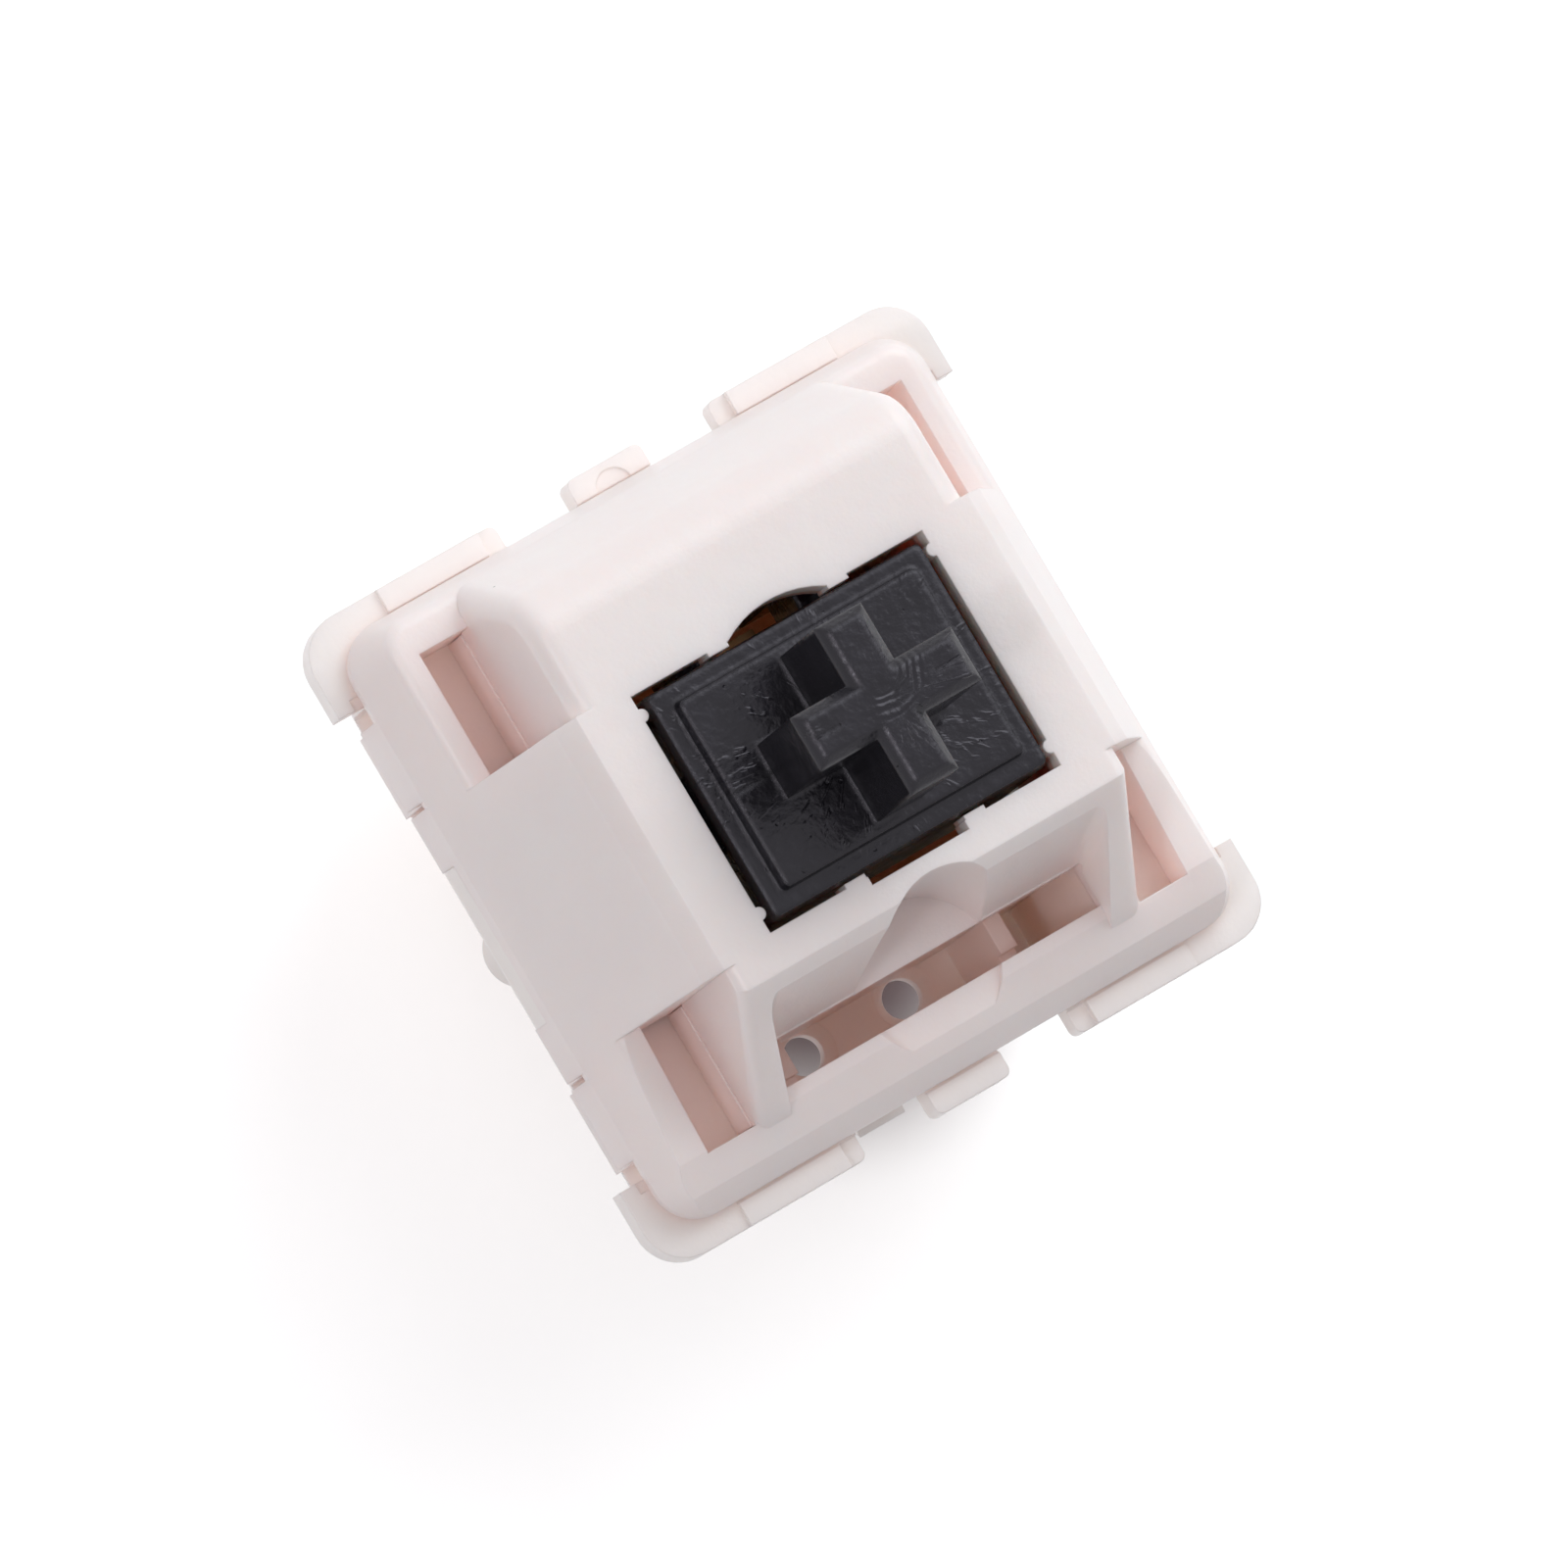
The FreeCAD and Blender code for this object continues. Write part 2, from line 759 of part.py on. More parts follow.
def parting_lines():
    """Fine mould line along the platform and over the cross, as cutting shapes."""
    half = parting_width / 2
    reach = slider_half_x
    grooves = []
    for top in (platform_z, cross_top):
        low = top - parting_depth
        grooves.append(box(-reach, -cross_bar_x, -half, half, low, low + parting_width))
        grooves.append(box(cross_bar_x, reach, -half, half, low, low + parting_width))
    return grooves


def stem():
    """Slider with its cross, guide rails, pole, spring chamber and two contact legs."""
    slider = rounded_slab(
        2 * slider_half_x, 2 * slider_half_y, slider_radius, slider_bottom, slider_rim_z
    )
    chamber = cylinder(chamber_radius, 0, 0, slider_bottom - 1, chamber_top)
    hollow = box(
        -chamber_half_x, chamber_half_x, -chamber_half_y, chamber_half_y,
        slider_bottom - 1, chamber_top
    )
    slider = slider.cut([chamber, hollow])
    rail_top = top_z - roof - running_gap
    rail_outer = bay_half_x - running_gap
    rail = box(
        slider_half_x - sheet, rail_outer, -rail_half_y, rail_half_y, slider_bottom, rail_top
    )
    pole = cylinder(pole_radius, 0, 0, pole_tip_z + pole_chamfer, chamber_top)
    tip = cone(
        pole_radius - pole_chamfer, pole_radius, 0, 0, pole_tip_z, pole_tip_z + pole_chamfer
    )
    root_y = slider_half_y - sheet
    leg_outline = [
        (root_y, leg_bridge_z),
        (leg_south_y, leg_bridge_z),
        (leg_south_y, leg_bottom),
        (leg_north_y, leg_bottom),
        (cam_y, leg_bottom + cam_reach),
        (cam_y, cam_top - cam_reach),
        (leg_north_y, cam_top),
        (leg_north_y, leg_top - leg_thickness),
        (leg_south_y, leg_top),
        (root_y, leg_top),
    ]
    leg = prism_x(leg_outline, leg_x - leg_width / 2, leg_x + leg_width / 2)
    pieces = [slider, pole, tip] + both_sides(rail) + both_sides(leg) + stem_head()
    return joined(pieces).cut(parting_lines())


def coil(turns, pitch, start_z, start_angle):
    """Part of the spring's wire path, as a helix from a start height and angle."""
    helix = Part.makeHelix(pitch, pitch * turns, spring_radius)
    helix.rotate(Vector(0, 0, 0), Vector(0, 0, 1), start_angle)
    helix.translate(Vector(0, 0, start_z))
    return helix


def return_spring():
    """Compression spring with closed end turns, from the tub's floor to the stem."""
    low = floor_thickness + spring_wire / 2 + part_gap
    high = chamber_top - spring_wire / 2 - part_gap
    end_pitch = spring_wire + part_gap
    end_rise = end_pitch * spring_end_turns
    pitch = (high - low - 2 * end_rise) / spring_turns
    pieces = [
        coil(spring_end_turns, end_pitch, low, 0),
        coil(spring_turns, pitch, low + end_rise, 0),
        coil(spring_end_turns, end_pitch, high - end_rise, 0),
    ]
    edges = []
    for piece in pieces:
        edges.extend(piece.Edges)
    path = Part.Wire(Part.__sortEdges__(edges))
    corners = []
    for side in range(spring_wire_sides + 1):
        turn = 2 * math.pi * side / spring_wire_sides
        x = spring_radius + spring_wire / 2 * math.cos(turn)
        corners.append(Vector(x, 0, low + spring_wire / 2 * math.sin(turn)))
    return path.makePipeShell([Part.makePolygon(corners)], True, True)


def solder_pin(x, y):
    """Contact pin with a tapered end."""
    half = pin_width / 2
    straight_z = pin_taper - pin_drop
    outline = [
        (x - half, contact_floor + sheet),
        (x - half, straight_z),
        (x - half / 2, -pin_drop),
        (x + half / 2, -pin_drop),
        (x + half, straight_z),
        (x + half, contact_floor + sheet),
    ]
    return prism_y(outline, y - sheet, y + sheet)


def fixed_contact():
    """Stamped plate beside the stem, with an arm to the west and its solder pin."""
    south = fixed_sheet_y
    north = fixed_sheet_y + sheet
    west = fixed_pin_x - pin_width / 2
    east = fixed_pin_x + pin_width / 2
    plate = box(-fixed_plate_half, fixed_plate_half, south, north, contact_floor, fixed_plate_top)
    arm = box(west, fixed_plate_half, south, north, contact_floor, fixed_arm_top)
    foot = box(west, east, fixed_pin_y - sheet, north, contact_floor, contact_floor + sheet)
    return joined([plate, arm, foot, solder_pin(fixed_pin_x, fixed_pin_y)])


def moving_contact():
    """Stamped leaf with two ears that the stem's cams hold back, its base and solder pin."""
    foot_top = contact_floor + sheet
    base_east_x = moving_pin_x + pin_width / 2 + leaf_base_reach
    base = box(
        leaf_base_west_x, base_east_x, leaf_base_y - sheet, leaf_base_y,
        contact_floor, leaf_base_top
    )
    foot = box(-leaf_half, leaf_half, leaf_y, leaf_base_y, contact_floor, foot_top)
    leaf = box(-leaf_half, leaf_half, leaf_y, leaf_y + sheet, contact_floor, leaf_neck_z)
    ear_reach = leg_x + leg_width / 2
    ears = box(-ear_reach, ear_reach, leaf_y, leaf_y + sheet, leaf_neck_z, leaf_top)
    shelf = box(
        moving_pin_x - pin_width / 2, moving_pin_x + pin_width / 2,
        moving_pin_y - sheet, leaf_base_y, contact_floor, foot_top
    )
    return joined([base, foot, leaf, ears, shelf, solder_pin(moving_pin_x, moving_pin_y)])


def contact_point(y, direction, long_x):
    """Small ridge of contact metal welded on a sheet, standing out along Y."""
    size_x = point_long if long_x else point_short
    size_z = point_short if long_x else point_long
    tip_y = y + direction * point_reach
    low, high = sorted((y, tip_y))
    block = box(-size_x / 2, size_x / 2, low, high, point_z - size_z / 2, point_z + size_z / 2)
    tip_edges = [
        edge for edge in block.Edges
        if abs(edge.CenterOfMass.y - tip_y) < part_gap
    ]
    return block.makeChamfer(point_chamfer, tip_edges)


parts = {
    "lower_housing": lower_housing(),
    "upper_housing": upper_housing(),
    "stem": stem(),
    "return_spring": return_spring(),
    "fixed_contact": fixed_contact(),
    "moving_contact": moving_contact(),
    "fixed_contact_point": contact_point(fixed_sheet_y + sheet, 1, True),
    "moving_contact_point": contact_point(leaf_y, -1, False),
}

os.makedirs("parts", exist_ok=True)
for name, shape in parts.items():
    box_size = shape.BoundBox
    print(
        name, "solids", len(shape.Solids), "valid", shape.isValid(),
        "volume", round(shape.Volume, 3),
        "x", round(box_size.XMin, 2), round(box_size.XMax, 2),
        "y", round(box_size.YMin, 2), round(box_size.YMax, 2),
        "z", round(box_size.ZMin, 2), round(box_size.ZMax, 2)
    )
    shape.exportStep("parts/" + name + ".step")
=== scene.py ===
import math

import bpy
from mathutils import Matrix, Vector


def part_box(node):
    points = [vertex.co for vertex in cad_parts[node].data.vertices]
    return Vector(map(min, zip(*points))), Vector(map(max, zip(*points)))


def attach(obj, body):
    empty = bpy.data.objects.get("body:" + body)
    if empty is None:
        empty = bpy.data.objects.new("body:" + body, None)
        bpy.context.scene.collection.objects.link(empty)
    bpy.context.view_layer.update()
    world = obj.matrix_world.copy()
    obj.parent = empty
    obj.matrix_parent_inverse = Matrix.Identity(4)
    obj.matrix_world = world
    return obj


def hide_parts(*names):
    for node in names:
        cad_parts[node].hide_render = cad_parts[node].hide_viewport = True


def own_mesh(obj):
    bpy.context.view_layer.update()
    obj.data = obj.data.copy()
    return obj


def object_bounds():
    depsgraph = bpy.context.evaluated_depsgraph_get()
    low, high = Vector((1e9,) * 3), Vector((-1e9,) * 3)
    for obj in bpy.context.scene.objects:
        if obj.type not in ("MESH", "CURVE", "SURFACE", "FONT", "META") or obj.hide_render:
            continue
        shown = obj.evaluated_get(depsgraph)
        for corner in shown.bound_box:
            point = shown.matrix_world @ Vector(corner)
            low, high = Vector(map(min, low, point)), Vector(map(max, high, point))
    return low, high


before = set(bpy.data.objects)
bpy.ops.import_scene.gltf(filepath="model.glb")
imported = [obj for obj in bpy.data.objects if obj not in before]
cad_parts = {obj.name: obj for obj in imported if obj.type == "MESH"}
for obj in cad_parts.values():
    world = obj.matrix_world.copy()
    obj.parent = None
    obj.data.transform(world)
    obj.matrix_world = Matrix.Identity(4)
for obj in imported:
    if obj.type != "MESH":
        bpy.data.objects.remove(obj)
cad_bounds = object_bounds()

# All sizes are in metres, but scales of noises and cells are per millimetre.
MM = 0.001

# Camera, worked out from the photograph
IMAGE_WIDTH_PX = 1600
SENSOR_MM = 36
PIXELS_PER_MM = 48.1
VIEW_DISTANCE = 377 * MM
TILT_WEST_DEG = 16.3
TILT_SOUTH_DEG = 2.5
ROLL_DEG = 29.92
AIM_Z = 5.4 * MM
AIM_PX = (800.3, 797.5)
CLIP_START = 0.01
CLIP_END = 10

# Noises, each with its scale and its detail, and the stretch of their values over which shades change
MOTTLING = (0.45, 4)
GRAIN = (12, 2)
WAVES = (1.4, 2)
STAINS = (1.6, 5)
PEEL = (5, 2)
METAL_DETAIL = 4
NOISE_RANGE = (0.3, 0.7)

# Dots: the scale of their cells, and their radius and number as shares of a cell and of all cells
SPECKS = (0.9, 0.035, 0.1)
PITS = (3.6, 0.2, 0.12)
DOT_CORE = 0.6

# Heights of the relief, with the radius to which sharp edges look rounded and the rays that find them
GRAIN_HEIGHT = 0.005 * MM
WAVE_HEIGHT = 0.02 * MM
PEEL_HEIGHT = 0.014 * MM
PIT_DEPTH = 0.02 * MM
STREAK_HEIGHT = 0.011 * MM
ARC_HEIGHT = 0.006 * MM
PALE_EDGE_ROUNDING = 0.05 * MM
BLACK_EDGE_ROUNDING = 0.18 * MM
BEVEL_SAMPLES = 6

# Pale plastics: two shades from 0 to 255, and how far light goes inside, in all and for each colour
PALE_PLASTICS = {
    "milky_plastic": (((253, 238, 235), (254, 241, 238)), 1.0 * MM, (1.0, 0.76, 0.66)),
    "cream_plastic": (((253, 242, 237), (255, 245, 240)), 1.2 * MM, (1.0, 0.9, 0.8)),
}
PALE_IOR = 1.49
PALE_ROUGHNESS = (0.26, 0.42)
PALE_LIGHT_INSIDE = 0.5
SPECK_COLOUR = (0.42, 0.36, 0.34, 1)

# Black plastic: two shades from 0 to 255, and its skin
BLACK_SHADES = ((10, 9, 14), (18, 17, 23))
BLACK_IOR = 1.46
BLACK_ROUGHNESS = (0.1, 0.34)
BLACK_GLOSS_TINT = (0.94, 0.9, 1, 1)

# Metals: two shades from 0 to 255, lowest and highest roughness, and the stains' scale
METALS = {
    "contact_strip": (((198, 152, 108), (214, 172, 128)), (0.22, 0.38), 1.2),
    "contact_gold": (((226, 184, 96), (238, 202, 120)), (0.15, 0.28), 2.0),
    "spring_steel": (((176, 176, 172), (200, 200, 196)), (0.18, 0.32), 1.5),
}

# Material of every solid
NODE_MATERIALS = {
    "upper_housing": "milky_plastic",
    "lower_housing": "cream_plastic",
    "stem": "black_plastic",
    "return_spring": "spring_steel",
    "fixed_contact": "contact_strip",
    "moving_contact": "contact_strip",
    "fixed_contact_point": "contact_gold",
    "moving_contact_point": "contact_gold",
}

# Hollow round the stem: its inner walls get a painted warm shade in their base colour, for the light
# that reaches them through the walls
HOLLOW_CENTRE = (0, 0.3 * MM, 5.6 * MM)
HOLLOW_HALF = (4.4 * MM, 3.3 * MM, 5.2 * MM)
HOLLOW_FADE_START = 0.97
HOLLOW_PAINTED_SHADE = (0.97, 0.6, 0.5, 1)

# Heights of the stem's two level faces, and how near them the flow lines reach
CROSS_TOP = 15.18 * MM
PLATFORM_TOP = 11.83 * MM
STREAK_CROSS_DEPTH = 0.1 * MM
STREAK_PLATFORM_RISE = 0.05 * MM
ARC_DEPTH = 0.2 * MM

# Flow streaks that run out from the stem's axis: their scales, and the parts of the noises that show
STREAKS_PER_RADIAN = 9
STREAK_SCALE_OUTWARDS = 0.9
STREAK_SCALE_UPWARDS = 0.5
STREAK_NOISE = (1.6, 2)
STREAK_LIMITS = (0.56, 0.66)
STREAK_PATCHES = (0.8, 1)
STREAK_PATCH_LIMITS = (0.48, 0.58)

# Curved flow lines over the middle of the cross, in a ring and a sector round their centre
ARC_CENTRE = (-0.04 * MM, 0.71 * MM)
ARC_WAVES = 34
ARC_WANDER = (1.0, 2)
ARC_WANDER_REACH = 0.55 * MM
ARC_NEAR = (0.55 * MM, 0.65 * MM)
ARC_FAR = (1.25 * MM, 1.1 * MM)
ARC_TURN = 1.0
ARC_SECTOR = (0.5, 0.8)

# Return spring, as the CAD has it
SPRING_RADIUS = 1.92 * MM
SPRING_WIRE = 0.22 * MM
SPRING_END_TURNS = 1
SPRING_TURNS = 8
SPRING_END_PITCH = 0.25 * MM
WIRE_SIDES = 10
STEPS_PER_TURN = 40

# Light: how far it is followed between pale walls, its tints, and the world's strength, which falls
# towards the south between two values of the direction's Y
LIGHT_BOUNCES = 20
WHITE = (1, 1, 1, 1)
WARM_LIGHT = (1, 0.96, 0.985)
COOL_LIGHT = (0.935, 0.98, 1)
WORLD_LIGHT = 0.43
WORLD_LIGHT_SOUTH = 0.12
SOUTH_HORIZON = -1
SOUTH_END = -0.2

# Lamps: place, side of the square, watts and tint
LAMPS = {
    "key": ((0.215, 0.14, 0.235), 0.3, 0.76, COOL_LIGHT),
    "fill": ((-0.224, 0, 0.27), 0.1, 0.14, WARM_LIGHT),
    "glint": ((-0.224, -0.03, 0.27), 0.02, 0.07, COOL_LIGHT),
}

# Floor: its paper, and a painted shadow: a darker oval right under the object, where the lift is
# taken away too
FLOOR_HALF = 0.6
FLOOR_PAPER = (0.82, 0.82, 0.82, 1)
FLOOR_PAINTED_SHADOW = (0.28, 0.22, 0.23, 1)
FLOOR_ROUGHNESS = 0.9
FLOOR_LIFT = 0.5
FLOOR_SHADE_CENTRE = (1.3 * MM, 0, 0)
FLOOR_SHADE_HALF = (5.2 * MM, 7.6 * MM, 1)
FLOOR_SHADE_LIMITS = (0.6, 1.15)


def colour(red, green, blue):
    """Screen colour from 0 to 255 as linear values for a shader."""
    values = []
    for part in (red, green, blue):
        share = part / 255
        if share <= 0.04045:
            values.append(share / 12.92)
        else:
            values.append(((share + 0.055) / 1.055) ** 2.4)
    return (*values, 1)


def new_material(name):
    """Empty node material with its output and Principled shader."""
    material = bpy.data.materials.new(name)
    material.use_nodes = True
    tree = material.node_tree
    tree.nodes.clear()
    output = tree.nodes.new("ShaderNodeOutputMaterial")
    shader = tree.nodes.new("ShaderNodeBsdfPrincipled")
    tree.links.new(shader.outputs["BSDF"], output.inputs["Surface"])
    return material, tree, shader


def set_values(node, values):
    """Sets a node's sockets, given by name."""
    for name, value in values.items():
        node.inputs[name].default_value = value


def calculated(tree, operation, first, second=0):
    """Result of a Math node; each of its inputs is a number or another node's output."""
    node = tree.nodes.new("ShaderNodeMath")
    node.operation = operation
    for value, socket in zip((first, second), node.inputs):
        if isinstance(value, (int, float)):
            socket.default_value = value
        else:
            tree.links.new(value, socket)
    return node.outputs["Value"]


def product(tree, *factors):
    """Product of numbers and other nodes' outputs."""
    result = factors[0]
    for factor in factors[1:]:
        result = calculated(tree, "MULTIPLY", result, factor)
    return result


def rising(tree, source, start, end):
    """Smooth rise from nought to one while a number goes from start to end."""
    node = tree.nodes.new("ShaderNodeMapRange")
    node.interpolation_type = "SMOOTHSTEP"
    set_values(node, {"From Min": start, "From Max": end})
    tree.links.new(source, node.inputs["Value"])
    return node.outputs["Result"]


def vector_node(tree, operation, vector, values=None):
    """Vector Math node on a vector, with a fixed second vector where it needs one."""
    node = tree.nodes.new("ShaderNodeVectorMath")
    node.operation = operation
    if values:
        node.inputs[1].default_value = values
    tree.links.new(vector, node.inputs[0])
    return node


def parts_of(tree, vector):
    """The three parts of a vector or colour."""
    parts = tree.nodes.new("ShaderNodeSeparateXYZ")
    tree.links.new(vector, parts.inputs["Vector"])
    return parts.outputs["X"], parts.outputs["Y"], parts.outputs["Z"]


def object_place(tree):
    """Each point's place in the object's own coordinates."""
    return tree.nodes.new("ShaderNodeTexCoord").outputs["Object"]


def noise_at(tree, vector, scale, detail):
    """Value of a noise at a vector."""
    noise = tree.nodes.new("ShaderNodeTexNoise")
    set_values(noise, {"Scale": scale, "Detail": detail})
    tree.links.new(vector, noise.inputs["Vector"])
    return noise.outputs["Fac"]


def object_noise(tree, scale, detail):
    """Noise in the object's own coordinates, with its scale per millimetre."""
    return noise_at(tree, object_place(tree), scale / MM, detail)


def scattered_dots(tree, scale, radius, share):
    """Small round dots in a share of the cells of a pattern, with its scale per millimetre."""
    cells = tree.nodes.new("ShaderNodeTexVoronoi")
    set_values(cells, {"Scale": scale / MM})
    tree.links.new(object_place(tree), cells.inputs["Vector"])
    outside = rising(tree, cells.outputs["Distance"], radius * DOT_CORE, radius)
    draw, _, _ = parts_of(tree, cells.outputs["Color"])
    chosen = calculated(tree, "LESS_THAN", draw, share)
    return product(tree, calculated(tree, "SUBTRACT", 1, outside), chosen)


def distance_from(tree, centre):
    """Level distance and bearing of each point from an upright axis, and the point's height."""
    offset = vector_node(tree, "SUBTRACT", object_place(tree), (*centre, 0))
    x, y, z = parts_of(tree, offset.outputs["Vector"])
    squares = [calculated(tree, "POWER", part, 2) for part in (x, y)]
    radius = calculated(tree, "SQRT", calculated(tree, "ADD", *squares))
    return radius, calculated(tree, "ARCTAN2", y, x), z


def scaled_place(tree, centre, half):
    """Each point's place from a centre, as a share of half a box's size on each axis."""
    offset = vector_node(tree, "SUBTRACT", object_place(tree), centre)
    return vector_node(tree, "DIVIDE", offset.outputs["Vector"], half).outputs["Vector"]


def flow_streaks(tree):
    """Fine scratches that run out from the stem's axis, in patches on its level faces."""
    radius, bearing, height = distance_from(tree, (0, 0))
    place = tree.nodes.new("ShaderNodeCombineXYZ")
    tree.links.new(product(tree, bearing, STREAKS_PER_RADIAN), place.inputs["X"])
    tree.links.new(product(tree, radius, STREAK_SCALE_OUTWARDS / MM), place.inputs["Y"])
    tree.links.new(product(tree, height, STREAK_SCALE_UPWARDS / MM), place.inputs["Z"])
    noise = noise_at(tree, place.outputs["Vector"], *STREAK_NOISE)
    lines = rising(tree, noise, *STREAK_LIMITS)
    patches = rising(tree, object_noise(tree, *STREAK_PATCHES), *STREAK_PATCH_LIMITS)
    on_cross = calculated(tree, "GREATER_THAN", height, CROSS_TOP - STREAK_CROSS_DEPTH)
    on_platform = calculated(tree, "LESS_THAN", height, PLATFORM_TOP + STREAK_PLATFORM_RISE)
    return product(tree, lines, patches, calculated(tree, "MAXIMUM", on_cross, on_platform))


def centre_arcs(tree):
    """A few curved flow lines over the middle of the cross."""
    radius, bearing, height = distance_from(tree, ARC_CENTRE)
    shift = product(tree, object_noise(tree, *ARC_WANDER), ARC_WANDER_REACH)
    phase = product(tree, calculated(tree, "ADD", radius, shift), ARC_WAVES / MM)
    wave = calculated(tree, "SINE", phase)
    from_middle = calculated(tree, "COSINE", calculated(tree, "ADD", bearing, ARC_TURN))
    sector = rising(tree, from_middle, *ARC_SECTOR)
    on_top = calculated(tree, "GREATER_THAN", height, CROSS_TOP - ARC_DEPTH)
    near = rising(tree, radius, *ARC_NEAR)
    far = rising(tree, radius, *ARC_FAR)
    return product(tree, wave, near, far, sector, on_top)


def hollow_painted_shade_mask(tree):
    """One on the inner walls of the hollow round the stem, where the warm shade is painted, and
    nought outside it.
    """
    place = scaled_place(tree, HOLLOW_CENTRE, HOLLOW_HALF)
    x, y, z = parts_of(tree, vector_node(tree, "ABSOLUTE", place).outputs["Vector"])
    farthest = calculated(tree, "MAXIMUM", calculated(tree, "MAXIMUM", x, y), z)
    return rising(tree, farthest, 1, HOLLOW_FADE_START)


def ramp_between(tree, source, low, high, start, end):
    """Colour that goes from low to high while a number goes from start to end."""
    ramp = tree.nodes.new("ShaderNodeValToRGB")
    for element, position, tint in zip(ramp.color_ramp.elements, (start, end), (low, high)):
        element.position = position
        element.color = tint
    tree.links.new(source, ramp.inputs["Fac"])
    return ramp.outputs["Color"]


def shade_between(tree, noise, shades):
    """Colour that goes between two shades as a noise does."""
    return ramp_between(tree, noise, *[colour(*shade) for shade in shades], *NOISE_RANGE)


def blended(tree, tint, mask, other):
    """Colour that turns to another one where the mask is one."""
    mix = tree.nodes.new("ShaderNodeMix")
    mix.data_type = "RGBA"
    mix.inputs["B"].default_value = other
    tree.links.new(mask, mix.inputs["Factor"])
    tree.links.new(tint, mix.inputs["A"])
    return mix.outputs["Result"]


def roughness_between(tree, shader, source, low, high):
    """Roughness that follows a noise between two values."""
    spread = tree.nodes.new("ShaderNodeMapRange")
    set_values(spread, {"To Min": low, "To Max": high})
    tree.links.new(source, spread.inputs["Value"])
    tree.links.new(spread.outputs["Result"], shader.inputs["Roughness"])


def relief(tree, shader, edge_radius, layers):
    """Fine relief from (source, height in metres) layers, on softly rounded edges."""
    rounding = tree.nodes.new("ShaderNodeBevel")
    rounding.samples = BEVEL_SAMPLES
    set_values(rounding, {"Radius": edge_radius})
    normal = rounding.outputs["Normal"]
    for source, height in layers:
        bump = tree.nodes.new("ShaderNodeBump")
        set_values(bump, {"Distance": height})
        tree.links.new(normal, bump.inputs["Normal"])
        tree.links.new(source, bump.inputs["Height"])
        normal = bump.outputs["Normal"]
    tree.links.new(normal, shader.inputs["Normal"])


def pale_plastic(name, shades, depth, depth_shares):
    """Pale plastic that lets some light through, with faint mottling, specks, a painted warm shade
    inside the hollow round the stem, and a satin skin.
    """
    material, tree, shader = new_material(name)
    mottled = shade_between(tree, object_noise(tree, *MOTTLING), shades)
    speckled = blended(tree, mottled, scattered_dots(tree, *SPECKS), SPECK_COLOUR)
    # Painted warm shade on the inner walls of the hollow round the stem
    painted_hollow_shade = blended(tree, speckled, hollow_painted_shade_mask(tree), HOLLOW_PAINTED_SHADE)
    tree.links.new(painted_hollow_shade, shader.inputs["Base Color"])
    set_values(shader, {
        "Subsurface Weight": PALE_LIGHT_INSIDE,
        "Subsurface Radius": depth_shares,
        "Subsurface Scale": depth,
        "IOR": PALE_IOR,
    })
    grain = object_noise(tree, *GRAIN)
    waves = object_noise(tree, *WAVES)
    roughness_between(tree, shader, grain, *PALE_ROUGHNESS)
    relief(tree, shader, PALE_EDGE_ROUNDING, [(waves, WAVE_HEIGHT), (grain, GRAIN_HEIGHT)])
    return material


def black_plastic():
    """Black moulded plastic with a glossy skin, flow marks and small pits."""
    material, tree, shader = new_material("black_plastic")
    stains = object_noise(tree, *STAINS)
    tree.links.new(shade_between(tree, stains, BLACK_SHADES), shader.inputs["Base Color"])
    roughness_between(tree, shader, stains, *BLACK_ROUGHNESS)
    set_values(shader, {"IOR": BLACK_IOR, "Specular Tint": BLACK_GLOSS_TINT})
    relief(tree, shader, BLACK_EDGE_ROUNDING, [
        (flow_streaks(tree), STREAK_HEIGHT),
        (centre_arcs(tree), ARC_HEIGHT),
        (scattered_dots(tree, *PITS), -PIT_DEPTH),
        (object_noise(tree, *PEEL), PEEL_HEIGHT),
    ])
    return material


def metal(name, shades, roughness, scale):
    """Bare metal with faint stains and the roughness of drawing or rolling."""
    material, tree, shader = new_material(name)
    stains = object_noise(tree, scale, METAL_DETAIL)
    tree.links.new(shade_between(tree, stains, shades), shader.inputs["Base Color"])
    set_values(shader, {"Metallic": 1})
    roughness_between(tree, shader, stains, *roughness)
    return material


def dress_nodes():
    """Gives every solid its material, and the spring its round wire."""
    materials = {"black_plastic": black_plastic()}
    for name, (shades, depth, depth_shares) in PALE_PLASTICS.items():
        materials[name] = pale_plastic(name, shades, depth, depth_shares)
    for name, (shades, roughness, scale) in METALS.items():
        materials[name] = metal(name, shades, roughness, scale)
    for node, name in NODE_MATERIALS.items():
        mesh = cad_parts[node].data
        mesh.materials.clear()
        mesh.materials.append(materials[name])
    make_spring(materials["spring_steel"])


def spring_path():
    """Points along the spring's wire: a closed turn at each end, and open turns between."""
    low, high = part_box("return_spring")
    bottom = low.z + SPRING_WIRE / 2
    top = high.z - SPRING_WIRE / 2
    open_rise = top - bottom - 2 * SPRING_END_TURNS * SPRING_END_PITCH
    turns = SPRING_TURNS + 2 * SPRING_END_TURNS
    points = []
    for step in range(turns * STEPS_PER_TURN + 1):
        turn = step / STEPS_PER_TURN
        first = min(turn, SPRING_END_TURNS)
        last = max(turn - SPRING_END_TURNS - SPRING_TURNS, 0)
        middle = turn - first - last
        rise = (first + last) * SPRING_END_PITCH + middle * open_rise / SPRING_TURNS
        angle = 2 * math.pi * turn
        points.append(Vector((
            SPRING_RADIUS * math.cos(angle), SPRING_RADIUS * math.sin(angle), bottom + rise
        )))
    return points


